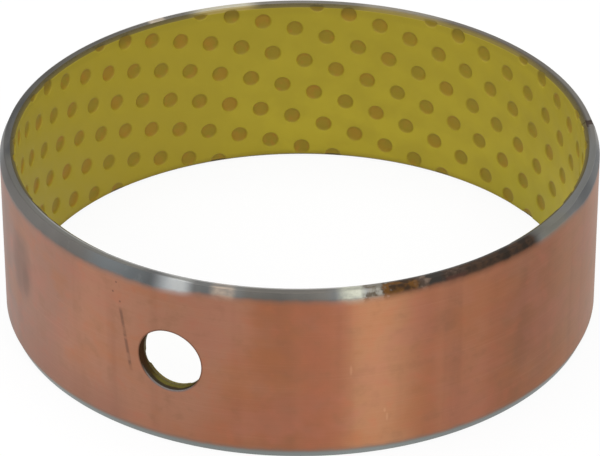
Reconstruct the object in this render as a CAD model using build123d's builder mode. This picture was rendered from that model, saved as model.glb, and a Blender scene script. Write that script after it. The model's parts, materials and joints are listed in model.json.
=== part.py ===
from build123d import *
from math import cos, degrees, hypot, radians, sin
import os

# Wrapped plain bushing: a strip of three bonded layers rolled into a ring whose cut ends meet in a
# butt seam. A steel back carries a thin sintered bronze layer, and a polymer lining with a
# staggered pattern of grease pockets covers the bronze. Lengths are in mm and turns in degrees,
# counted from +X round the axis. The ring stands on its lower end, with Z = 0 at that end.

# Driving dimensions: the wall
outer_diameter = 100.0
width = 30.8
steel_thickness = 1.8
bronze_thickness = 0.25
lining_thickness = 0.45

# Driving dimensions: the turned ends
outer_chamfer_length = 1.6  # along the axis
outer_chamfer_depth = 0.7  # into the wall
inner_chamfer_length = 0.55  # along the axis
inner_chamfer_depth = 0.7  # into the wall

# Driving dimensions: the seam and the oil hole
seam_gap = 0.15  # between the strip's ends, at the outside
seam_turn = 5.6
oil_hole_diameter = 11.0
oil_hole_height = 15.7
oil_hole_turn = 245.4

# Driving dimensions: the grease pockets, laid out on the lining as it is when flat
pocket_diameter = 3.1
pocket_depth = 0.4
pocket_sides = 6
pocket_pitch = 5.89  # from pocket to pocket along a row
pocket_row_spacing = 5.72
pocket_stagger = 3.41  # shift along the row from one row to the next
pocket_row_tilt = 16.0  # between a row and the ring's edge
first_pocket_turn = 93.7
first_pocket_height = 14.8
seam_land = 0.4  # plain lining left between a pocket and the seam
end_margin = 1.0  # from an end face to the nearest pocket centre

# Radii of the layers
outer_radius = outer_diameter / 2
bronze_outer = outer_radius - steel_thickness
lining_outer = bronze_outer - bronze_thickness
bore_radius = lining_outer - lining_thickness

# The strip is rolled from one side of the seam round to the other
seam_arc = degrees(seam_gap / outer_radius)
rolled_arc = 360 - seam_arc
roll_start_turn = seam_turn + seam_arc / 2


def radial_plane(turn, height, radius=0.0):
    """Plane that faces straight out from the axis at a turn, a height and a radius."""
    outward = Vector(1, 0, 0).rotate(Axis.Z, turn)
    sideways = outward.rotate(Axis.Z, 90)
    return Plane(origin=outward * radius + Vector(0, 0, height), x_dir=sideways, z_dir=outward)


def layer_section(inner_radius, thickness):
    """Cross-section of one layer, cut out of the chamfered outline of the whole wall."""
    outward = Vector(1, 0, 0).rotate(Axis.Z, roll_start_turn)
    section_plane = Plane(origin=(0, 0, 0), x_dir=outward, z_dir=outward.rotate(Axis.Z, -90))
    with BuildSketch(section_plane) as section:
        with BuildLine():
            Polyline(
                (bore_radius, inner_chamfer_length),
                (bore_radius + inner_chamfer_depth, 0),
                (outer_radius - outer_chamfer_depth, 0),
                (outer_radius, outer_chamfer_length),
                (outer_radius, width - outer_chamfer_length),
                (outer_radius - outer_chamfer_depth, width),
                (bore_radius + inner_chamfer_depth, width),
                (bore_radius, width - inner_chamfer_length),
                close=True,
            )
        make_face()
        with Locations((inner_radius + thickness / 2, width / 2)):
            Rectangle(thickness, width, mode=Mode.INTERSECT)
    return section.sketch


def pocket_planes():
    """Radial planes of the grease pockets: every point of the flat pattern that lies on the strip.

    A pocket near an end runs out into its chamfer, and one that the seam would split is left out.
    """
    strip_length = bore_radius * radians(rolled_arc)
    pocket_radius = pocket_diameter / 2
    start = bore_radius * radians(first_pocket_turn - roll_start_turn)
    along_row = (
        pocket_pitch * cos(radians(pocket_row_tilt)),
        pocket_pitch * sin(radians(pocket_row_tilt)),
    )
    next_row = (
        pocket_stagger * cos(radians(pocket_row_tilt)) - pocket_row_spacing * sin(radians(pocket_row_tilt)),
        pocket_stagger * sin(radians(pocket_row_tilt)) + pocket_row_spacing * cos(radians(pocket_row_tilt)),
    )
    reach = int(hypot(strip_length, width) / min(pocket_pitch, pocket_row_spacing)) + 1
    planes = []
    for row in range(-reach, reach + 1):
        for place in range(-reach, reach + 1):
            along = start + place * along_row[0] + row * next_row[0]
            height = first_pocket_height + place * along_row[1] + row * next_row[1]
            clear_of_seam = pocket_radius + seam_land < along < strip_length - pocket_radius - seam_land
            on_the_strip = end_margin < height < width - end_margin
            if clear_of_seam and on_the_strip:
                turn = roll_start_turn + degrees(along / bore_radius)
                planes.append(radial_plane(turn, height, bore_radius))
    return planes


# Steel back: the outer layer, with the long outer chamfers and the flat end faces
with BuildPart() as steel_back:
    add(layer_section(bronze_outer, steel_thickness))
    revolve(axis=Axis.Z, revolution_arc=rolled_arc)
    with BuildSketch(radial_plane(oil_hole_turn, oil_hole_height)):
        Circle(oil_hole_diameter / 2)
    extrude(amount=outer_diameter, mode=Mode.SUBTRACT)
steel_back.part.label = "steel_back"

# Sintered bronze: the thin porous layer that keys the lining to the steel
with BuildPart() as sintered_bronze:
    add(layer_section(lining_outer, bronze_thickness))
    revolve(axis=Axis.Z, revolution_arc=rolled_arc)
    with BuildSketch(radial_plane(oil_hole_turn, oil_hole_height)):
        Circle(oil_hole_diameter / 2)
    extrude(amount=outer_diameter, mode=Mode.SUBTRACT)
sintered_bronze.part.label = "sintered_bronze"

# One grease pocket as a cutter: a shallow faceted pit that points outwards, with its mouth in the
# bore's surface at Z = 0. It starts inside the bore, so that it cuts the curved surface cleanly.
with BuildPart() as pocket_cutter:
    cutter_start = lining_thickness
    cutter_radius = pocket_diameter / 2 * (pocket_depth + cutter_start) / pocket_depth
    with BuildSketch(Plane.XY.offset(-cutter_start)) as cutter_start_face:
        RegularPolygon(cutter_radius, pocket_sides, rotation=180 / pocket_sides)
    loft(sections=[cutter_start_face.sketch.face(), Vertex(0, 0, pocket_depth)])

# Polymer lining: the running surface, with the grease pockets sunk almost down to the bronze
with BuildPart() as polymer_lining:
    add(layer_section(bore_radius, lining_thickness))
    revolve(axis=Axis.Z, revolution_arc=rolled_arc)
    with BuildSketch(radial_plane(oil_hole_turn, oil_hole_height)):
        Circle(oil_hole_diameter / 2)
    extrude(amount=outer_diameter, mode=Mode.SUBTRACT)
    with Locations(*pocket_planes()):
        add(pocket_cutter.part, mode=Mode.SUBTRACT)
polymer_lining.part.label = "polymer_lining"

os.makedirs("parts", exist_ok=True)
export_step(steel_back.part, "parts/steel_back.step")
export_step(sintered_bronze.part, "parts/sintered_bronze.step")
export_step(polymer_lining.part, "parts/polymer_lining.step")
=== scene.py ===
import json
import math

import bmesh
import bpy
from mathutils import Matrix, Vector


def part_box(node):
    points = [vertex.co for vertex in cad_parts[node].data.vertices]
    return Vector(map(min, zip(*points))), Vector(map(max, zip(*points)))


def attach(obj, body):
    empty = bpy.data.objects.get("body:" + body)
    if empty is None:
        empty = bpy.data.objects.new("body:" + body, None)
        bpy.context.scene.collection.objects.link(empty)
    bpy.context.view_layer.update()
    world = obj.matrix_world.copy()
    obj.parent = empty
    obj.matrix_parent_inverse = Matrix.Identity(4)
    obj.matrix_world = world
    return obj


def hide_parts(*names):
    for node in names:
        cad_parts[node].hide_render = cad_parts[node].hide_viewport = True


# A bushing rolled from strip: a copper-plated steel back, a thin bronze layer, and a polymer lining with
# grease pockets. Lengths are in metres and turns in radians from +X, unless a comment says otherwise.
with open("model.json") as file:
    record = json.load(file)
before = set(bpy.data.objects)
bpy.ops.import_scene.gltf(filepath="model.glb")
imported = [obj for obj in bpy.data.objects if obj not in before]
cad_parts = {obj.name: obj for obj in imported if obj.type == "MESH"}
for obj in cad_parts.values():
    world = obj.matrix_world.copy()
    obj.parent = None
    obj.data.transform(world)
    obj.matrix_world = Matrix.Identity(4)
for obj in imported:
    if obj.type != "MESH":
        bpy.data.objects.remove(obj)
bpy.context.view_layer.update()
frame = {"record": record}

MM = 0.001

# ---------------------------------------------------------------- sizes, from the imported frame
MOUNTS = {mount["name"]: mount for mount in frame["record"]["mounts"]}
OUTER_RADIUS = MOUNTS["housing_seat"]["dims"]["r_mm"] * MM
BORE_RADIUS = MOUNTS["shaft_bore"]["dims"]["r_mm"] * MM
LINING_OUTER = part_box("polymer_lining")[1][0]
BRONZE_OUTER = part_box("sintered_bronze")[1][0]
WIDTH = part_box("steel_back")[1][2]
HOLE_RADIUS = MOUNTS["oil_hole"]["dims"]["r_mm"] * MM
HOLE_HEIGHT = MOUNTS["oil_hole"]["pos_m"][2]
HOLE_TURN = math.atan2(MOUNTS["oil_hole"]["axis"][1], MOUNTS["oil_hole"]["axis"][0])

# The turned ends, the seam and the grease pockets, as the construction has them
OUTER_CHAMFER_LENGTH = 1.6 * MM
OUTER_CHAMFER_DEPTH = 0.7 * MM
INNER_CHAMFER_LENGTH = 0.55 * MM
INNER_CHAMFER_DEPTH = 0.7 * MM
SEAM_GAP = 0.15 * MM
SEAM_TURN = math.radians(5.6)
POCKET_RADIUS = 1.55 * MM
POCKET_DEPTH = 0.4 * MM
POCKET_PITCH = 5.89 * MM
POCKET_ROW_SPACING = 5.72 * MM
POCKET_STAGGER = 3.41 * MM
POCKET_ROW_TILT = math.radians(16.0)
FIRST_POCKET_TURN = math.radians(93.7)
FIRST_POCKET_HEIGHT = 14.8 * MM

SEAM_ARC = SEAM_GAP / OUTER_RADIUS
ROLLED_ARC = 2 * math.pi - SEAM_ARC
ROLL_START = SEAM_TURN + SEAM_ARC / 2

# The stretch where the upper outer chamfer is turned shorter, and the part of it where it is less so:
# from, to and fade in degrees from the front, then the change in the chamfer's length in mm
SHORT_STRETCH = (-17, 60, 9)
SHORT_STRETCH_CUT = 0.72
MIDDLE_STRETCH = (8, 12, 8)
MIDDLE_STRETCH_GAIN = 0.25


# ---------------------------------------------------------------- mesh helpers
def new_object(name, mesh):
    piece = bpy.data.objects.new(name, mesh)
    bpy.context.scene.collection.objects.link(piece)
    return piece


def mesh_from(name, vertices, faces):
    mesh = bpy.data.meshes.new(name)
    mesh.from_pydata(vertices, [], faces)
    mesh.update()
    return mesh


def smooth(piece, sharp_degrees=28):
    piece.data.shade_smooth()
    piece.data.set_sharp_from_angle(angle=math.radians(sharp_degrees))


def drill_oil_hole(piece, wall_material):
    """Cuts the radial oil hole through a layer, with its own material on the wall of the hole."""
    sides = 96
    outward = Vector((math.cos(HOLE_TURN), math.sin(HOLE_TURN), 0))
    sideways = Vector((-outward.y, outward.x, 0))
    up = Vector((0, 0, 1))
    start, end = 0.8 * BORE_RADIUS, 1.1 * OUTER_RADIUS
    rings = []
    for distance in (start, end):
        centre = outward * distance + up * HOLE_HEIGHT
        for side in range(sides):
            angle = 2 * math.pi * side / sides
            rings.append(centre + HOLE_RADIUS * (math.cos(angle) * sideways + math.sin(angle) * up))
    faces = [list(range(sides))[::-1], list(range(sides, 2 * sides))]
    for side in range(sides):
        after = (side + 1) % sides
        faces.append((side, after, sides + after, sides + side))
    cutter = new_object("oil_hole_cutter", mesh_from("oil_hole_cutter", rings, faces))
    cutter.data.materials.append(wall_material)
    cut = piece.modifiers.new("oil_hole", "BOOLEAN")
    cut.object = cutter
    cut.operation = "DIFFERENCE"
    cut.solver = "EXACT"
    cut.material_mode = "TRANSFER"
    apply_modifiers(piece)
    bpy.data.objects.remove(cutter)


def apply_modifiers(piece):
    depsgraph = bpy.context.evaluated_depsgraph_get()
    finished = bpy.data.meshes.new_from_object(piece.evaluated_get(depsgraph))
    piece.modifiers.clear()
    piece.data = finished


def rolled_ring(name, profile_at, segments=540):
    """A ring rolled from one side of the seam to the other.

    profile_at(turn) gives the closed section there as (radius, height) pairs.
    """
    vertices = []
    for segment in range(segments + 1):
        turn = ROLL_START + ROLLED_ARC * segment / segments
        for radius, height in profile_at(turn):
            vertices.append((radius * math.cos(turn), radius * math.sin(turn), height))
    count = len(profile_at(ROLL_START))
    faces = [list(range(count)), [segments * count + i for i in range(count)][::-1]]
    for segment in range(segments):
        near, far = segment * count, (segment + 1) * count
        for i in range(count):
            j = (i + 1) % count
            faces.append((near + i, far + i, far + j, near + j))
    mesh = mesh_from(name, vertices, faces)
    tidy = bmesh.new()
    tidy.from_mesh(mesh)
    bmesh.ops.recalc_face_normals(tidy, faces=tidy.faces)
    tidy.to_mesh(mesh)
    tidy.free()
    return new_object(name, mesh)


def rounded(points, radius):
    """Closed outline with each corner cut back by the radius and rounded by a midpoint."""
    result = []
    for i, corner in enumerate(points):
        corner = Vector(corner)
        before = Vector(points[i - 1]) - corner
        after = Vector(points[(i + 1) % len(points)]) - corner
        reach = min(radius, 0.4 * before.length, 0.4 * after.length)
        first = corner + before.normalized() * reach
        last = corner + after.normalized() * reach
        result.append(first)
        result.append(0.25 * first + 0.5 * corner + 0.25 * last)
        result.append(last)
    return result


# ---------------------------------------------------------------- turns round the ring
def degrees_from_front(turn):
    """A turn in radians from +X, as degrees from the front (-Y), positive to +X."""
    return (math.degrees(turn) + 90 + 180) % 360 - 180


def window(value, low, high, soft):
    """1 between low and high, fading smoothly to 0 over the soft width outside them."""

    def ramp(x):
        x = min(max(x, 0.0), 1.0)
        return x * x * (3 - 2 * x)

    return ramp((value - low) / soft + 1) * ramp((high - value) / soft + 1)


# ---------------------------------------------------------------- steel back
EDGE_BREAK = 0.06 * MM


def top_chamfer_length(turn):
    """The upper outer chamfer is turned unevenly: it is shorter from the front to the right."""
    from_front = degrees_from_front(turn)
    cut_off = SHORT_STRETCH_CUT * MM * window(from_front, *SHORT_STRETCH)
    given_back = MIDDLE_STRETCH_GAIN * MM * window(from_front, *MIDDLE_STRETCH)
    return OUTER_CHAMFER_LENGTH - cut_off + given_back


def steel_section(turn):
    """The steel's section at a turn, with its edges broken and its tall sides cut into short steps."""
    tall_side = 10 * MM
    steps = 24
    top_length = top_chamfer_length(turn)
    slope = OUTER_CHAMFER_DEPTH / OUTER_CHAMFER_LENGTH
    outline = [
        (BRONZE_OUTER, 0),
        (OUTER_RADIUS - OUTER_CHAMFER_DEPTH, 0),
        (OUTER_RADIUS, OUTER_CHAMFER_LENGTH),
        (OUTER_RADIUS, WIDTH - top_length),
        (OUTER_RADIUS - slope * top_length, WIDTH),
        (BRONZE_OUTER, WIDTH),
    ]
    corners = rounded(outline, EDGE_BREAK)
    section = []
    for i, point in enumerate(corners):
        section.append(tuple(point))
        after = corners[(i + 1) % len(corners)]
        if (after - point).length > tall_side:
            section += [tuple(point.lerp(after, step / steps)) for step in range(1, steps)]
    return section


# ---------------------------------------------------------------- bronze layer
def bronze_section(turn):
    """The bronze's section, which is the same at every turn."""
    slope = INNER_CHAMFER_LENGTH / INNER_CHAMFER_DEPTH
    inner_cut = (BORE_RADIUS + INNER_CHAMFER_DEPTH - LINING_OUTER) * slope
    return [
        (LINING_OUTER, inner_cut),
        (BRONZE_OUTER, 0),
        (BRONZE_OUTER, WIDTH),
        (LINING_OUTER, WIDTH - inner_cut),
    ]


# ---------------------------------------------------------------- polymer lining
POCKET_SIDES = 24
# How near points have to be to become one, to lie in a cutting plane, and to be at the strip's end
WELD = 0.002 * MM
ON_PLANE = 0.0005 * MM
AT_END = 0.001 * MM
# A pocket's section: distance from its centre and depth, in shares of its radius and depth
POCKET_PROFILE = [(1.05, 0.0), (0.99, 0.06), (0.94, 0.24), (0.86, 0.55), (0.75, 0.8), (0.55, 0.95)]


def pocket_lattice():
    """Steps from pocket to pocket along a row and from row to row, on the flat strip."""
    tilt = POCKET_ROW_TILT
    along = Vector((math.cos(tilt), math.sin(tilt)))
    across = Vector((-math.sin(tilt), math.cos(tilt)))
    return along * POCKET_PITCH, along * POCKET_STAGGER + across * POCKET_ROW_SPACING


def cell_outline(along_row, next_row):
    """Points round one cell of the pattern, from its lower left corner."""
    corners = [
        (-along_row - next_row) / 2,
        (along_row - next_row) / 2,
        (along_row + next_row) / 2,
        (-along_row + next_row) / 2,
    ]
    per_edge = POCKET_SIDES // 4
    points = []
    for i in range(4):
        for step in range(per_edge):
            points.append(corners[i].lerp(corners[(i + 1) % 4], step / per_edge))
    return points


def add_ring(strip, centre, offsets, depth):
    return [strip.verts.new((centre.x + o.x, centre.y + o.y, depth)) for o in offsets]


def add_cell(strip, centre, outline, thickness):
    """One pocket with the lining round it, and the plain back of the lining under it."""
    rings = [add_ring(strip, centre, outline, 0)]
    for share, depth in POCKET_PROFILE:
        offsets = [point.normalized() * POCKET_RADIUS * share for point in outline]
        rings.append(add_ring(strip, centre, offsets, POCKET_DEPTH * depth))
    middle = strip.verts.new((centre.x, centre.y, POCKET_DEPTH))
    back = add_ring(strip, centre, outline, thickness)
    back_middle = strip.verts.new((centre.x, centre.y, thickness))
    for side in range(POCKET_SIDES):
        after = (side + 1) % POCKET_SIDES
        for outer, inner in zip(rings, rings[1:]):
            strip.faces.new((outer[side], inner[side], inner[after], outer[after]))
        strip.faces.new((rings[-1][side], middle, rings[-1][after]))
        strip.faces.new((back[side], back[after], back_middle))


def cut(strip, point, normal, clear=True):
    """Cuts the strip along a plane and, where asked, clears what lies beyond it."""
    bmesh.ops.bisect_plane(
        strip,
        geom=strip.verts[:] + strip.edges[:] + strip.faces[:],
        dist=ON_PLANE,
        plane_co=point,
        plane_no=normal,
        clear_outer=clear,
    )


def chamfer_depth(height):
    """How deep the turned inner chamfers cut into the lining at a height."""
    from_end = min(height, WIDTH - height)
    slope = INNER_CHAMFER_DEPTH / INNER_CHAMFER_LENGTH
    return (INNER_CHAMFER_LENGTH - from_end) * slope


def close_strip_end(strip, place):
    """Fills the flat face at one end of the strip, where it meets the other end in the seam."""
    edges = []
    for edge in strip.edges:
        if edge.is_boundary and all(abs(v.co.x - place) < AT_END for v in edge.verts):
            edges.append(edge)
    bmesh.ops.triangle_fill(strip, use_beauty=True, edges=edges)


def lining_mesh():
    """The lining laid out flat (X along the strip, Y height, Z depth), then rolled into the ring."""
    thickness = LINING_OUTER - BORE_RADIUS
    length = BORE_RADIUS * ROLLED_ARC
    along_row, next_row = pocket_lattice()
    outline = cell_outline(along_row, next_row)
    origin = Vector((BORE_RADIUS * (FIRST_POCKET_TURN - ROLL_START), FIRST_POCKET_HEIGHT))
    reach = int((length + WIDTH) / POCKET_PITCH)
    strip = bmesh.new()
    for row in range(-reach, reach):
        for place in range(-reach, reach):
            centre = origin + place * along_row + row * next_row
            beside = -POCKET_PITCH < centre.x < length + POCKET_PITCH
            if beside and -POCKET_PITCH < centre.y < WIDTH + POCKET_PITCH:
                add_cell(strip, centre, outline, thickness)
    bmesh.ops.remove_doubles(strip, verts=strip.verts, dist=WELD)

    edge_height = INNER_CHAMFER_LENGTH * (1 - thickness / INNER_CHAMFER_DEPTH)
    cut(strip, (0, edge_height, 0), (0, -1, 0))
    cut(strip, (0, WIDTH - edge_height, 0), (0, 1, 0))
    cut(strip, (0, INNER_CHAMFER_LENGTH, 0), (0, 1, 0), clear=False)
    cut(strip, (0, WIDTH - INNER_CHAMFER_LENGTH, 0), (0, 1, 0), clear=False)
    cut(strip, (0, 0, 0), (-1, 0, 0))
    cut(strip, (length, 0, 0), (1, 0, 0))
    for vertex in strip.verts:
        vertex.co.z = min(max(vertex.co.z, chamfer_depth(vertex.co.y)), thickness)
    bmesh.ops.remove_doubles(strip, verts=strip.verts, dist=WELD)
    close_strip_end(strip, 0)
    close_strip_end(strip, length)

    for vertex in strip.verts:
        along, height, depth = vertex.co
        turn = ROLL_START + along / BORE_RADIUS
        radius = BORE_RADIUS + depth
        vertex.co = (radius * math.cos(turn), radius * math.sin(turn), height)
    bmesh.ops.recalc_face_normals(strip, faces=strip.faces)
    mesh = bpy.data.meshes.new("lining")
    strip.to_mesh(mesh)
    strip.free()
    return mesh


# ---------------------------------------------------------------- materials
# In mm: the height of the upper end, the radius where its face meets the outer chamfer, how far the
# inner chamfers reach from the ends, and the oil hole's radius and height
TOP = WIDTH / MM
FACE_EDGE = (OUTER_RADIUS - OUTER_CHAMFER_DEPTH) / MM
INNER_CHAMFER_REACH = INNER_CHAMFER_LENGTH / MM
HOLE_EDGE = HOLE_RADIUS / MM
HOLE_LEVEL = HOLE_HEIGHT / MM


def linear(red, green, blue):
    """Colour given in 0 to 255 screen values, as the shader's linear one."""
    shares = [value / 255 for value in (red, green, blue)]
    values = [share / 12.92 if share <= 0.04045 else ((share + 0.055) / 1.055) ** 2.4 for share in shares]
    return (*values, 1)


class Look:
    """Short calls for making one material's nodes."""

    def __init__(self, name):
        self.material = bpy.data.materials.new(name)
        self.material.use_nodes = True
        self.tree = self.material.node_tree
        self.surface = self.tree.nodes["Principled BSDF"]
        self.coordinates = None

    def node(self, kind, inputs=None, **settings):
        node = self.tree.nodes.new(kind)
        for key, value in settings.items():
            setattr(node, key, value)
        for key, value in (inputs or {}).items():
            self.put(node.inputs[key], value)
        return node

    def put(self, socket, value):
        if isinstance(value, bpy.types.NodeSocket):
            self.tree.links.new(value, socket)
        else:
            socket.default_value = value

    def set(self, **values):
        for key, value in values.items():
            self.put(self.surface.inputs[key.replace("_", " ")], value)

    def math(self, operation, first, second=0.0, third=0.0):
        node = self.node("ShaderNodeMath", operation=operation)
        self.put(node.inputs[0], first)
        self.put(node.inputs[1], second)
        self.put(node.inputs[2], third)
        return node.outputs[0]

    def times(self, first, second):
        return self.math("MULTIPLY", first, second)

    def mix(self, share, first, second):
        node = self.node("ShaderNodeMix", data_type="RGBA")
        self.put(node.inputs[0], share)
        self.put(node.inputs[6], first)
        self.put(node.inputs[7], second)
        return node.outputs[2]

    def step(self, value, low, high, to_low=0.0, to_high=1.0):
        """Goes smoothly from to_low to to_high while the value goes from low to high."""
        node = self.node("ShaderNodeMapRange", interpolation_type="SMOOTHSTEP")
        self.put(node.inputs[0], value)
        node.inputs[1].default_value = low
        node.inputs[2].default_value = high
        node.inputs[3].default_value = to_low
        node.inputs[4].default_value = to_high
        return node.outputs[0]

    def window(self, value, low, high, soft):
        """1 between low and high, fading to 0 over the soft width outside them."""
        rise = self.step(value, low - soft, low)
        fall = self.step(value, high, high + soft, 1.0, 0.0)
        return self.times(rise, fall)

    def cylinder(self):
        """Turn in degrees from the front (-Y, positive to +X), radius and height in mm."""
        if self.coordinates is None:
            place = self.node("ShaderNodeTexCoord").outputs["Object"]
            split = self.node("ShaderNodeSeparateXYZ", {0: place})
            x, y, z = (self.times(split.outputs[i], 1 / MM) for i in range(3))
            turn = self.math("ARCTAN2", x, self.times(y, -1.0))
            squares = self.math("ADD", self.times(x, x), self.times(y, y))
            self.coordinates = self.times(turn, math.degrees(1)), self.math("SQRT", squares), z
        return self.coordinates

    def noise(self, along=1.0, outward=1.0, upward=1.0, detail=2.0, roughness=0.5, offset=0.0):
        """Noise with its own scale along the arc, outward and upward, per mm, and no join."""
        turn, radius, height = self.cylinder()
        angle = self.times(turn, math.radians(1))
        reach = OUTER_RADIUS / MM * along
        rise = self.times(height, upward)
        out = self.math("MULTIPLY_ADD", radius, outward, rise)
        place = self.node("ShaderNodeCombineXYZ")
        self.put(place.inputs[0], self.times(self.math("COSINE", angle), reach))
        self.put(place.inputs[1], self.times(self.math("SINE", angle), reach))
        self.put(place.inputs[2], self.math("ADD", out, offset))
        texture = self.node("ShaderNodeTexNoise", {"Vector": place.outputs[0]})
        texture.inputs["Scale"].default_value = 1.0
        texture.inputs["Detail"].default_value = detail
        texture.inputs["Roughness"].default_value = roughness
        return texture.outputs[0]

    def from_oil_hole(self):
        """Distance in mm from the point on the oil hole's axis that has the same radius."""
        turn, radius, height = self.cylinder()
        hole_turn = degrees_from_front(HOLE_TURN)
        half_turn = self.times(self.math("SUBTRACT", turn, hole_turn), math.radians(0.5))
        aside = self.times(self.times(radius, self.math("SINE", half_turn)), 2.0)
        above = self.math("SUBTRACT", height, HOLE_LEVEL)
        return self.math("SQRT", self.math("ADD", self.times(aside, aside), self.times(above, above)))

    def spot(self, place, level, width, tall):
        """Soft round spot on the outside: place and width in degrees, level and height in mm."""
        turn, _, height = self.cylinder()
        aside = self.times(self.math("SUBTRACT", turn, place), 2 / width)
        above = self.times(self.math("SUBTRACT", height, level), 2 / tall)
        squares = self.math("ADD", self.times(aside, aside), self.times(above, above))
        return self.step(squares, 0.1, 1.6, 1, 0)

    def bump(self, height, strength, distance):
        node = self.node("ShaderNodeBump")
        node.inputs["Strength"].default_value = strength
        node.inputs["Distance"].default_value = distance
        self.put(node.inputs["Height"], height)
        self.put(self.surface.inputs["Normal"], node.outputs[0])


# In the functions below, turns are in degrees from the front, and radii and heights in mm
def near_top(look):
    """1 in the uppermost 3 mm, and 0 lower down."""
    height = look.cylinder()[2]
    return look.step(height, TOP - 3.5, TOP - 3.2)


def on_top_face(look):
    """1 on the flat face of the upper end."""
    height = look.cylinder()[2]
    return look.step(height, TOP - 0.12, TOP - 0.04)


def across_end(look, on_face=0.0, on_chamfer=1.0):
    """One share over the flat face of an end, and another over the long chamfer outside it."""
    radius = look.cylinder()[1]
    return look.step(radius, FACE_EDGE - 0.3, FACE_EDGE + 0.1, on_face, on_chamfer)


def lowest_in_hole(look):
    """1 at the bottom of the oil hole's wall, fading upwards."""
    height = look.cylinder()[2]
    return look.step(height, HOLE_LEVEL - 5.2, HOLE_LEVEL - 3.8, 1, 0)


def rubbed_back(look):
    """Two stretches at the back where the upper rim was rubbed bright, the right one less so."""
    turn = look.cylinder()[0]
    left = look.times(look.step(turn, -172.5, -168.0), look.step(turn, -160.0, -155.0, 1, 0))
    right = look.times(look.step(turn, 146.0, 151.0), look.step(turn, 164.0, 169.0, 1, 0))
    return look.times(look.math("MAXIMUM", left, look.times(right, 0.3)), near_top(look))


def copper_bands(look):
    """The plated outside's upright tonal bands, which waver a little, with painted light among them: a
    painted highlight band, painted shade just before it, and a fainter painted tail after it where that
    light falls off.
    """
    turn, _, height = look.cylinder()
    waver = look.noise(along=0.1, outward=0, upward=0.35, detail=3.0, offset=70.0)
    wavered = look.math("MULTIPLY_ADD", waver, 3.0, turn)
    leaning = look.math("MULTIPLY_ADD", height, -0.4, look.math("ADD", wavered, 4.8))
    colour = look.mix(look.step(turn, -56, -20), linear(156, 116, 98), linear(165, 107, 79))
    colour = look.mix(look.window(turn, -100, -76, 18), colour, linear(144, 112, 98))
    pinker = look.times(look.window(leaning, -44, -18, 9), look.step(height, 1, 8, 0.5, 0.85))
    colour = look.mix(pinker, colour, linear(171, 123, 99))
    colour = look.mix(look.window(wavered, -4.5, -1, 4), colour, linear(157, 102, 74))
    # Painted shade: a redder, darker band just before the painted highlight.
    colour = look.mix(look.window(wavered, 3, 6, 3), colour, linear(162, 103, 76))
    # Painted highlight: a paler upright band over the key lamp's real streak, adding to it.
    painted_highlight_band = look.times(look.step(wavered, 8, 12.5), look.step(wavered, 18, 27, 1, 0))
    colour = look.mix(painted_highlight_band, colour, linear(169, 120, 88))
    # Painted light: a fainter pale tail after the painted highlight, then darker where that light falls
    # off.
    colour = look.mix(look.window(wavered, 29, 36, 4), colour, linear(172, 115, 86))
    colour = look.mix(look.step(wavered, 38, 47), colour, linear(152, 101, 73))
    colour = look.mix(look.step(wavered, 52, 63), colour, linear(160, 113, 83))
    at_back = look.step(look.math("ABSOLUTE", turn), 85, 150)
    return look.mix(at_back, colour, linear(158, 108, 84))


def copper_blotches(look, colour):
    """Darker columns, pale clouds, blotches, warmer and pinker patches, and a darker low left."""
    turn, _, height = look.cylinder()
    columns = look.noise(along=0.22, outward=0, upward=0.01, detail=3.0)
    colour = look.mix(look.step(columns, 0.5, 0.75, 0, 0.3), colour, linear(134, 88, 68))
    clouds = look.noise(along=0.06, outward=0, upward=0.09, detail=3.0, offset=20.0)
    colour = look.mix(look.step(clouds, 0.5, 0.8, 0, 0.35), colour, linear(178, 130, 106))
    blotches = look.noise(along=0.3, outward=0, upward=0.35, detail=4.0, roughness=0.6, offset=90.0)
    colour = look.mix(look.step(blotches, 0.5, 0.72, 0, 0.28), colour, linear(182, 108, 80))
    colour = look.mix(look.step(blotches, 0.3, 0.5, 0.25, 0), colour, linear(136, 100, 74))
    warm = look.noise(along=0.09, outward=0, upward=0.14, detail=3.0, roughness=0.55, offset=130.0)
    colour = look.mix(look.step(warm, 0.5, 0.68, 0, 0.32), colour, linear(168, 108, 69))
    colour = look.mix(look.step(warm, 0.32, 0.5, 0.3, 0), colour, linear(172, 112, 94))
    low_left = look.times(look.step(height, 2, 13, 0.55, 0), look.window(turn, -64, -38, 8))
    return look.mix(low_left, colour, linear(142, 102, 86))


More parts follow.
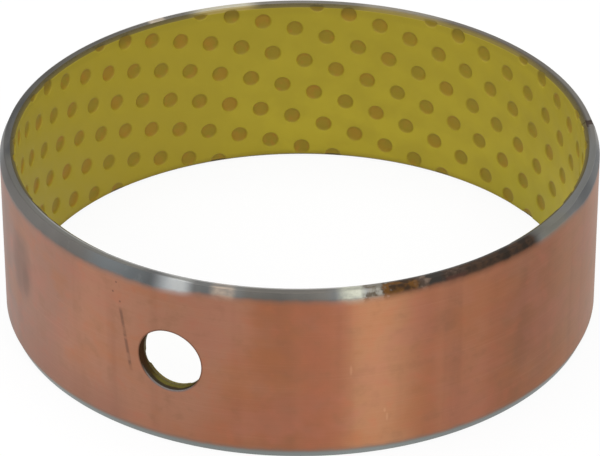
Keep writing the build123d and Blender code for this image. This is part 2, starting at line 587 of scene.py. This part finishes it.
def copper_marks(look, colour):
    """Stains with the smudge on the left, the broken scratch, dark spots near it, and small nicks painted
    bright as glints.
    """
    turn, _, height = look.cylinder()
    # Each stain's turn and height, its width in degrees and height in mm, and how strong it is
    stains = (
        (27.5, 22.5, 6.0, 4.5, 0.12),
        (29.0, 13.5, 4.0, 3.4, 0.08),
        (46.0, 13.0, 6.0, 12.0, 0.1),
        (-66.0, 18.6, 9.5, 12.0, 0.45),
        (-64.0, 16.4, 3.2, 6.0, 0.3),
    )
    for place, level, width, tall, share in stains:
        stain = look.times(look.spot(place, level, width, tall), share)
        colour = look.mix(stain, colour, linear(106, 80, 68))

    scratch_top, scratch_bottom = 23.2, 12.0
    top_turn, bottom_turn = -34.85, -32.79
    lean = (bottom_turn - top_turn) / (scratch_top - scratch_bottom)
    upright = look.math("MULTIPLY_ADD", height, lean, turn)
    from_scratch = look.math("ADD", upright, -bottom_turn - lean * scratch_bottom)
    scratch = look.times(look.window(from_scratch, -0.12, 0.12, 0.42), look.window(height, 12.6, 22.2, 1.2))
    broken = look.step(look.noise(along=0.5, outward=0, upward=0.7, offset=7.0), 0.36, 0.5, 0.25, 0.6)
    colour = look.mix(look.times(scratch, broken), colour, linear(104, 76, 64))
    for place, level in ((-35.6, 27.5), (-34.85, 24.1), (-36.4, 25.6)):
        dark_spot = look.times(look.spot(place, level, 0.45, 0.4), 0.6)
        colour = look.mix(dark_spot, colour, linear(92, 66, 58))
    # Painted highlights: small bright upright glints where nicks catch the light.
    for place, level, tall in ((9.17, 16.3, 1.9), (15.96, 6.8, 1.5), (15.5, 8.1, 0.9)):
        nick_glint = look.times(look.spot(place, level, 0.5, tall), 0.15)
        colour = look.mix(nick_glint, colour, linear(222, 176, 140))
    return colour


def copper_colour(look):
    """Colour of the plated outside, and its brush lines, which run round the ring."""
    colour = copper_blotches(look, copper_bands(look))
    lines = look.noise(along=0.04, outward=0, upward=5.0, detail=3.0, roughness=0.7)
    colour = look.mix(look.step(lines, 0.5, 0.8, 0, 0.1), colour, linear(205, 158, 128))
    colour = look.mix(look.step(lines, 0.2, 0.5, 0.08, 0), colour, linear(110, 66, 46))
    return copper_marks(look, colour), lines


def turned_steel(look, grain):
    """Bare turned steel as it is all round the ring, grey and finely grained."""
    slow = look.noise(along=0.12, outward=0.6, upward=0.3, detail=2.0, offset=11.0)
    chamfer = look.mix(look.step(slow, 0.3, 0.7), linear(97, 99, 100), linear(124, 124, 122))
    face = look.mix(look.step(slow, 0.3, 0.7), linear(96, 97, 97), linear(118, 117, 114))
    colour = look.mix(on_top_face(look), chamfer, face)
    return look.mix(look.step(grain, 0.58, 0.8, 0, 0.4), colour, linear(150, 150, 147))


def front_steel(look, colour):
    """The front's own tones: the left, a warmer middle, a glint between them, and a paler right face."""
    turn = look.cylinder()[0]
    on_chamfer = across_end(look)
    left_chamfer = look.mix(look.step(turn, -46, -38), linear(98, 93, 88), linear(98, 103, 106))
    left_tone = look.mix(on_chamfer, linear(128, 126, 119), left_chamfer)
    colour = look.mix(look.times(look.window(turn, -80, -33, 6), 0.7), colour, left_tone)
    colour = look.mix(look.times(look.window(turn, -9, 4, 3), 0.55), colour, linear(98, 92, 83))
    glint = look.times(look.step(turn, -28.5, -23.2), look.step(turn, -22.2, -19.2, 1, 0))
    glint = look.times(glint, look.times(on_chamfer, near_top(look)))
    colour = look.mix(look.times(glint, 0.6), colour, linear(224, 230, 236))
    right_face = look.times(look.window(turn, 56, 90, 6), on_top_face(look))
    return look.mix(look.times(right_face, 0.6), colour, linear(156, 156, 152))


def back_steel(look, colour):
    """The back's tones: warmer, on the right darker inwards and paler outwards, rubbed in two places."""
    turn, radius, _ = look.cylinder()
    at_back = look.step(look.math("ABSOLUTE", turn), 95, 125, 0, 0.5)
    colour = look.mix(at_back, colour, linear(118, 112, 100))
    back_right = look.window(turn, 100, 160, 15)
    colour = look.mix(look.times(back_right, 0.8), colour, linear(124, 118, 110))
    inner_part = look.times(back_right, look.step(radius, 48.3, 48.7, 0.75, 0))
    colour = look.mix(inner_part, colour, linear(98, 88, 68))
    outer_part = look.times(look.window(turn, 95, 112, 11), look.step(radius, 48.4, 48.8, 0, 0.75))
    colour = look.mix(outer_part, colour, linear(150, 146, 139))
    return look.mix(look.times(rubbed_back(look), 0.6), colour, linear(208, 202, 180))


def steel_colour(look):
    """Bare turned steel on both ends, with a painted highlight along the inner lip, painted glints on the
    upper rim, and places that were rubbed bright.
    """
    turn, radius, height = look.cylinder()
    grain = look.noise(along=0.5, outward=2.0, upward=1.5, detail=4.0, roughness=0.6)
    upper = near_top(look)
    colour = back_steel(look, front_steel(look, turned_steel(look, grain)))
    olive_end = look.times(look.window(turn, 53, 57, 5), upper)
    colour = look.mix(look.times(olive_end, 0.6), colour, linear(144, 141, 127))
    low_end = look.step(height, 3.0, 3.5, 0.85, 0)
    low_tone = look.mix(look.step(height, 0.6, 1.8), linear(137, 142, 140), linear(130, 112, 99))
    colour = look.mix(low_end, colour, low_tone)
    # Painted highlight: a pale line along the inner lip at the front.
    painted_lip_highlight = look.times(look.step(radius, 48.35, 48.6, 0.6, 0), look.window(turn, -58, 12, 10))
    colour = look.mix(painted_lip_highlight, colour, linear(190, 190, 187))

    # The first three are painted glints, painted highlights on the upper rim at the front, and the last is
    # a place at the back that was rubbed bright. Where each starts, reaches and leaves its full brightness,
    # and ends, how bright it is on the chamfer and on the flat face, and its tone
    # Painted highlights in the first three rows, a rubbed place in the last.
    glints_and_rubbed = (
        (-28.5, -22.8, -21.8, -19.2, 0.5, 0.3, linear(208, 208, 202)),
        (-17.0, -15.2, -12.8, -11.2, 0.58, 0.22, linear(214, 192, 170)),
        (6.0, 8.6, 10.6, 12.4, 0.55, 0.55, linear(203, 204, 182)),
        (-151.2, -150.2, -147.6, -146.6, 0.75, 0.75, linear(214, 200, 180)),
    )
    for starts, full, fades, ends, chamfer_share, face_share, tone in glints_and_rubbed:
        spot = look.times(look.step(turn, starts, full), look.step(turn, fades, ends, 1, 0))
        spot = look.times(look.times(spot, look.step(grain, 0.3, 0.6, 0.5, 1)), upper)
        share = across_end(look, face_share, chamfer_share)
        colour = look.mix(look.times(spot, share), colour, tone)
    return colour


def rust_tone(look, grain):
    """Amber where the rust starts, then dull with a dark line in it, then dark brown."""
    turn, _, height = look.cylinder()
    patches = look.noise(along=0.35, outward=0.6, upward=0.6, detail=3.0, roughness=0.6, offset=31.0)
    place = look.math("MULTIPLY_ADD", patches, 7.0, look.math("SUBTRACT", turn, 3.5))
    mottle = look.noise(along=0.7, outward=1.0, upward=1.0, detail=3.0, offset=77.0)
    amber = look.mix(look.step(mottle, 0.42, 0.6), linear(48, 30, 8), linear(92, 58, 10))
    amber = look.mix(look.step(grain, 0.38, 0.5, 0.4, 0), amber, linear(44, 28, 12))
    dull = look.mix(look.step(grain, 0.38, 0.66), linear(66, 52, 42), linear(106, 90, 78))
    duller = look.mix(look.step(grain, 0.38, 0.66), linear(48, 35, 26), linear(78, 62, 51))
    dull = look.mix(look.step(place, 25.5, 27.0), dull, duller)
    low_on_rim = look.step(height, TOP - 0.7, TOP - 0.2, 0.85, 0)
    dull = look.mix(look.times(low_on_rim, look.step(place, 26, 28)), dull, linear(68, 40, 30))
    dark = look.mix(look.step(patches, 0.38, 0.62), linear(36, 26, 17), linear(61, 43, 29))
    dark = look.mix(look.step(grain, 0.35, 0.5, 0.6, 0), dark, linear(34, 27, 23))
    tone = look.mix(look.step(place, 20.2, 22.0), amber, dull)
    tone = look.mix(look.window(place, 24.6, 26.4, 0.8), tone, linear(44, 39, 34))
    tone = look.mix(look.step(place, 30.0, 33.0), tone, dark)
    return look.mix(look.step(turn, 14.2, 15.2, 1, 0), tone, linear(84, 70, 52))


def rust_cover(look, grain):
    """How far rust covers the upper rim's front right, with specks before it, and less of it on the inner
    lip, where steel is left showing as a painted highlight.
    """
    turn, radius, _ = look.cylinder()
    specks = look.times(look.window(turn, 11.8, 15.5, 0.8), look.step(grain, 0.47, 0.58, 0, 0.75))
    starts = look.math("MULTIPLY_ADD", grain, 14.0, turn)
    covered = look.times(look.step(starts, 20.5, 23.0), look.step(turn, 48.0, 51.0, 1, 0))
    # Painted highlight: the inner lip is kept partly clear of rust, so a paler line of steel shows along
    # it.
    lip_highlight_in_rust = look.step(radius, 48.3, 48.7, 0.55, 0)
    covered = look.times(covered, look.math("SUBTRACT", 1.0, lip_highlight_in_rust))
    return look.times(look.math("MAXIMUM", covered, specks), near_top(look))


def seam_stain(look):
    """How far the brown stain at the seam covers the upper end; it is wider at the inner lip."""
    turn, radius, _ = look.cylinder()
    lean = 0.35  # degrees for each mm outwards
    middle_radius = 49
    leaned = look.math("MULTIPLY_ADD", radius, -lean, turn)
    beside_seam = look.math("ADD", leaned, lean * middle_radius - degrees_from_front(SEAM_TURN))
    across = look.window(beside_seam, -0.9, 0.5, 0.4)
    at_lip = look.times(look.step(radius, 48.3, 49.0, 1, 0), look.window(beside_seam, -1.6, 0.8, 0.5))
    return look.times(look.math("MAXIMUM", across, at_lip), near_top(look))


def rust(look, steel):
    """The steel's colour with the rust and the seam's stain on it, and how far they cover it."""
    turn = look.cylinder()[0]
    grain = look.noise(along=1.0, outward=2.0, upward=2.0, detail=5.0, roughness=0.65, offset=3.0)
    covered = rust_cover(look, grain)
    stain = seam_stain(look)
    dulled = look.times(look.window(turn, 12.8, 16.0, 1.0), near_top(look))
    steel = look.mix(look.times(dulled, 0.7), steel, linear(118, 113, 102))
    colour = look.mix(covered, steel, rust_tone(look, grain))
    colour = look.mix(look.times(stain, 0.92), colour, linear(44, 27, 18))
    return colour, look.math("MAXIMUM", covered, stain)


def bare_steel(look):
    """1 where the turned ends are bare of copper; the plating fades out just past each chamfer."""
    turn, _, height = look.cylinder()
    edge_noise = look.noise(along=0.5, outward=0, upward=0.4, detail=3.0, offset=50.0)
    shift = look.math("MULTIPLY_ADD", edge_noise, 0.6, -0.3)
    cut_off = look.times(look.window(turn, *SHORT_STRETCH), -SHORT_STRETCH_CUT)
    given_back = look.times(look.window(turn, *MIDDLE_STRETCH), MIDDLE_STRETCH_GAIN)
    length_change = look.math("ADD", given_back, cut_off)
    full_chamfer_foot = (WIDTH - OUTER_CHAMFER_LENGTH) / MM
    above_foot = look.math("ADD", look.math("ADD", height, length_change), -full_chamfer_foot)
    above_foot = look.math("ADD", above_foot, shift)
    faint = look.step(above_foot, -1.5, 0.0, 0, 0.5)
    clear = look.step(above_foot, -0.6, 0.2, 0, 0.5)
    bottom = look.step(look.math("ADD", height, shift), 0.9, 2.3, 1, 0)
    return look.math("MAXIMUM", look.math("ADD", faint, clear), bottom)


def copper_and_steel():
    """Copper plating outside, brushed round the ring, and bare turned steel on the ends."""
    look = Look("copper_plated_steel")
    height = look.cylinder()[2]
    copper, lines = copper_colour(look)
    steel, rusted = rust(look, steel_colour(look))
    bare = bare_steel(look)
    hole_rim = look.step(look.from_oil_hole(), HOLE_EDGE + 0.05, HOLE_EDGE + 0.35, 0.7, 0)
    low = look.step(height, HOLE_LEVEL - 4.6, HOLE_LEVEL - 3.4, 1, 0)
    rim_tone = look.mix(low, linear(92, 66, 52), linear(126, 116, 114))
    copper = look.mix(hole_rim, copper, rim_tone)
    rusted = look.times(bare, rusted)
    metal = look.math("MULTIPLY_ADD", rusted, -0.88, 0.9)
    rough = look.math("MULTIPLY_ADD", rusted, 0.35, 0.47)
    look.set(Base_Color=look.mix(bare, copper, steel), Metallic=metal, Roughness=rough)
    look.set(Specular_IOR_Level=0.3, Anisotropic=0.85, Anisotropic_Rotation=0.25)
    around = look.node("ShaderNodeTangent", direction_type="RADIAL", axis="Z")
    look.put(look.surface.inputs["Tangent"], around.outputs[0])
    look.bump(lines, 0.12, 0.02 * MM)
    return look.material


def bronze():
    """Sintered bronze as the turned edge shows it: dull grey-brown, with the grain of its powder."""
    look = Look("sintered_bronze")
    turn = look.cylinder()[0]
    grain = look.noise(along=4.0, outward=4.0, upward=4.0, detail=4.0)
    colour = look.mix(look.step(grain, 0.3, 0.7), linear(74, 65, 36), linear(96, 86, 52))
    colour = look.mix(look.window(turn, 130, 160, 15), colour, linear(104, 91, 54))
    colour = look.mix(look.times(rubbed_back(look), 0.75), colour, linear(172, 158, 112))
    look.set(Base_Color=colour, Metallic=0.5, Roughness=0.6)
    look.bump(grain, 0.3, 0.03 * MM)
    return look.material


def lining_yellow(look, speckle, from_top):
    """The lining's colour: mottled, with painted shade that makes it a little darker upwards, a painted
    tone on the left side, and darkest at its lower edge.

    Low down at the back right it is greener.
    """
    turn, _, height = look.cylinder()
    mottle = look.noise(along=0.15, outward=0, upward=0.2, detail=3.0)
    yellow = look.mix(look.step(mottle, 0.35, 0.65), linear(161, 146, 37), linear(168, 153, 39))
    yellow = look.mix(look.step(speckle, 0.55, 0.8, 0, 0.2), yellow, linear(160, 148, 46))
    # Painted shade: darker towards the top of the bore.
    yellow = look.mix(look.step(height, 5, 28, 0, 0.6), yellow, linear(150, 135, 34))
    # Painted light: the left side of the bore gets its own tone, set for the light that falls there.
    yellow = look.mix(look.window(turn, -150, -70, 30), yellow, linear(157, 141, 36))
    yellow = look.mix(look.window(from_top, 0.7, 1.3, 0.9), yellow, linear(152, 137, 35))
    yellow = look.mix(look.step(height, 0.4, 1.6, 0.6, 0), yellow, linear(122, 106, 30))
    green_side = look.times(look.window(turn, 95, 125, 15), look.step(height, 4, 14, 1, 0))
    return look.mix(look.times(green_side, 0.4), yellow, linear(152, 144, 30))


def pocket_brown(look, from_top):
    """The pockets' browner colour, with warmer marks in some, and darker near the upper end."""
    turn = look.cylinder()[0]
    tone = look.noise(along=0.3, outward=0, upward=0.3, detail=1.0, offset=40.0)
    brown = look.mix(look.step(tone, 0.42, 0.66), linear(138, 119, 28), linear(147, 116, 29))
    mark = look.noise(along=0.9, outward=0, upward=0.9, detail=3.0, offset=60.0)
    mark = look.times(look.step(mark, 0.52, 0.72, 0, 0.5), look.step(from_top, 1.6, 2.8, 0.3, 1))
    brown = look.mix(mark, brown, linear(158, 111, 35))
    brown = look.mix(look.step(from_top, 1.0, 2.6, 0.7, 0), brown, linear(112, 93, 24))
    return look.mix(look.times(look.window(turn, 90, 160, 15), 0.3), brown, linear(139, 124, 28))


def turned_lining(look, depth):
    """The turned inner chamfers' dull olive, paler at the back right and in the rubbed places."""
    turn = look.cylinder()[0]
    turned = look.mix(look.step(depth, 0.1, 0.45), linear(98, 86, 34), linear(84, 75, 42))
    turned = look.mix(look.window(turn, 130, 160, 15), turned, linear(114, 100, 38))
    return look.mix(look.times(rubbed_back(look), 0.75), turned, linear(150, 132, 66))


def polymer():
    """Olive-yellow lining, with browner pockets, turned ends and a drilled edge."""
    look = Look("yellow_polymer")
    _, radius, height = look.cylinder()
    from_top = look.math("SUBTRACT", TOP, height)
    depth = look.math("SUBTRACT", radius, BORE_RADIUS / MM)
    speckle = look.noise(along=1.2, outward=1.0, upward=1.2, detail=2.0, offset=9.0)
    yellow = lining_yellow(look, speckle, from_top)
    colour = look.mix(look.step(depth, 0.0, 0.28), yellow, pocket_brown(look, from_top))
    nearest_end = look.math("MINIMUM", height, from_top)
    on_chamfer = look.step(nearest_end, INNER_CHAMFER_REACH - 0.1, INNER_CHAMFER_REACH + 0.02, 1, 0)
    colour = look.mix(on_chamfer, colour, turned_lining(look, depth))
    drilled = look.step(look.from_oil_hole(), HOLE_EDGE + 0.02, HOLE_EDGE + 0.12, 0.85, 0)
    drilled_tone = look.mix(lowest_in_hole(look), linear(66, 52, 25), linear(98, 90, 43))
    colour = look.mix(drilled, colour, drilled_tone)
    look.set(Base_Color=colour, Roughness=0.6, Specular_IOR_Level=0.25)
    look.bump(speckle, 0.1, 0.02 * MM)
    return look.material


def drilled_wall():
    """Wall of the oil hole: dark brown, and low down smeared lining and a grey outer lip."""
    look = Look("drilled_wall")
    _, radius, height = look.cylinder()
    rings = look.noise(along=0.6, outward=6.0, upward=0.6, detail=3.0)
    colour = look.mix(rings, linear(42, 28, 17), linear(72, 50, 33))
    low = look.step(height, HOLE_LEVEL - 4.4, HOLE_LEVEL - 1.6, 1, 0)
    grey_part = look.times(low, look.step(radius, 48.9, 49.3, 0, 0.8))
    colour = look.mix(grey_part, colour, linear(58, 54, 44))
    patches = look.noise(along=0.6, outward=1.0, upward=0.6, detail=2.0, offset=5.0)
    ragged_radius = look.math("MULTIPLY_ADD", patches, 0.6, radius)
    smear = look.times(low, look.step(ragged_radius, 49.1, 49.5, 1, 0))
    smear_tone = look.mix(lowest_in_hole(look), linear(66, 54, 28), linear(98, 91, 45))
    colour = look.mix(smear, colour, smear_tone)
    outer_lip = look.times(low, look.step(radius, 49.6, 49.8))
    colour = look.mix(outer_lip, colour, linear(120, 114, 112))
    look.set(Base_Color=colour, Roughness=0.8, Specular_IOR_Level=0.0)
    return look.material


# ---------------------------------------------------------------- the pieces
def dress(piece, material, node, wall=None):
    """Gives a replacing piece its material and its oil hole, hangs it under the root body, and hides the
    CAD node it replaces.
    """
    piece.data.materials.append(material)
    drill_oil_hole(piece, wall or material)
    smooth(piece)
    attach(piece, "root")
    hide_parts(node)


dress(
    rolled_ring("steel_back_shell", steel_section),
    copper_and_steel(),
    "steel_back",
    drilled_wall(),
)
dress(rolled_ring("sintered_bronze_band", bronze_section), bronze(), "sintered_bronze")
dress(new_object("polymer_lining_skin", lining_mesh()), polymer(), "polymer_lining")


# ---------------------------------------------------------------- floor, light and camera
def white_under_camera(material, share):
    """Lets a stage surface show white to the camera and in reflections, and keep its shadow."""
    nodes, links = material.node_tree.nodes, material.node_tree.links
    rays = nodes.new("ShaderNodeLightPath")
    seen = rays.outputs["Is Camera Ray"]
    for ray in ("Is Glossy Ray", "Is Transmission Ray"):
        either = nodes.new("ShaderNodeMath")
        either.operation = "MAXIMUM"
        links.new(seen, either.inputs[0])
        links.new(rays.outputs[ray], either.inputs[1])
        seen = either.outputs[0]
    scaled = nodes.new("ShaderNodeMath")
    scaled.operation = "MULTIPLY"
    scaled.inputs[1].default_value = share
    links.new(seen, scaled.inputs[0])
    glow = nodes.new("ShaderNodeEmission")
    glow.inputs["Strength"].default_value = 1.0
    both = nodes.new("ShaderNodeMixShader")
    links.new(scaled.outputs[0], both.inputs[0])
    links.new(nodes["Principled BSDF"].outputs[0], both.inputs[1])
    links.new(glow.outputs[0], both.inputs[2])
    links.new(both.outputs[0], nodes["Material Output"].inputs[0])


def make_floor():
    """A wide white floor, just clear of the ring's lower end."""
    reach = 3.0
    gap = 0.02 * MM
    corners = [(-reach, -reach, 0), (reach, -reach, 0), (reach, reach, 0), (-reach, reach, 0)]
    floor = new_object("floor", mesh_from("floor", corners, [(0, 1, 2, 3)]))
    floor.location.z = -gap
    paint = bpy.data.materials.new("floor_white")
    paint.use_nodes = True
    surface = paint.node_tree.nodes["Principled BSDF"]
    surface.inputs["Base Color"].default_value = (0.9, 0.9, 0.9, 1)
    surface.inputs["Roughness"].default_value = 0.9
    surface.inputs["Specular IOR Level"].default_value = 0.1
    white_under_camera(paint, share=0.92)
    floor.data.materials.append(paint)


def make_world(strength):
    """Plain white surround, the same for every kind of ray; it shows only in very low views."""
    world = bpy.data.worlds.new("studio")
    bpy.context.scene.world = world
    world.use_nodes = True
    surround = world.node_tree.nodes["Background"]
    surround.inputs["Color"].default_value = (1, 1, 1, 1)
    surround.inputs["Strength"].default_value = strength


def softbox(name, place, target, width, height, watts):
    """A rectangular lamp that faces the target."""
    light = bpy.data.lights.new(name, "AREA")
    light.shape = "RECTANGLE"
    light.size = width
    light.size_y = height
    light.energy = watts
    lamp = bpy.data.objects.new(name, light)
    bpy.context.scene.collection.objects.link(lamp)
    lamp.location = place
    lamp.rotation_euler = (Vector(target) - Vector(place)).to_track_quat("-Z", "Y").to_euler()


def make_lamps():
    """A narrow key lamp at the front right, and three wide soft ones."""
    ring_middle = (0, 0, 0.015)
    # Name, place, width, height and power of each
    lamps = (
        ("key", (0.30, -0.605, 0.35), 0.11, 0.5, 1.4),
        ("fill", (-0.65, 0.05, 0.4), 0.8, 0.5, 2.0),
        ("front", (0.0, -0.8, 0.55), 1.0, 0.3, 1.6),
        ("top", (0.0, 0.1, 0.8), 0.6, 0.6, 2.9),
    )
    for name, place, width, height, watts in lamps:
        softbox(name, place, ring_middle, width, height, watts)


def make_camera():
    """Camera in front of the ring that looks down on it at the photograph's viewing angle."""
    distance = 0.55385
    height = 0.34350
    pitch = 0.53793
    roll = -0.00313
    focal_pixels = 3813.6
    frame_pixels = 600
    data = bpy.data.cameras.new("camera")
    data.sensor_width = 36
    data.sensor_fit = "HORIZONTAL"
    data.lens = focal_pixels / frame_pixels * data.sensor_width
    data.clip_start = 0.01
    camera = bpy.data.objects.new("camera", data)
    bpy.context.scene.collection.objects.link(camera)
    forward = Vector((0, math.cos(pitch), -math.sin(pitch)))
    right = Vector((1, 0, 0))
    up = right.cross(forward)
    rolled_right = math.cos(roll) * right + math.sin(roll) * up
    rolled_up = -math.sin(roll) * right + math.cos(roll) * up
    turned = Matrix((rolled_right, rolled_up, -forward)).transposed()
    camera.matrix_world = Matrix.Translation((0, -distance, height)) @ turned.to_4x4()
    bpy.context.scene.camera = camera


make_floor()
make_world(0.6)
make_lamps()
make_camera()
bpy.context.scene.view_settings.view_transform = "Standard"
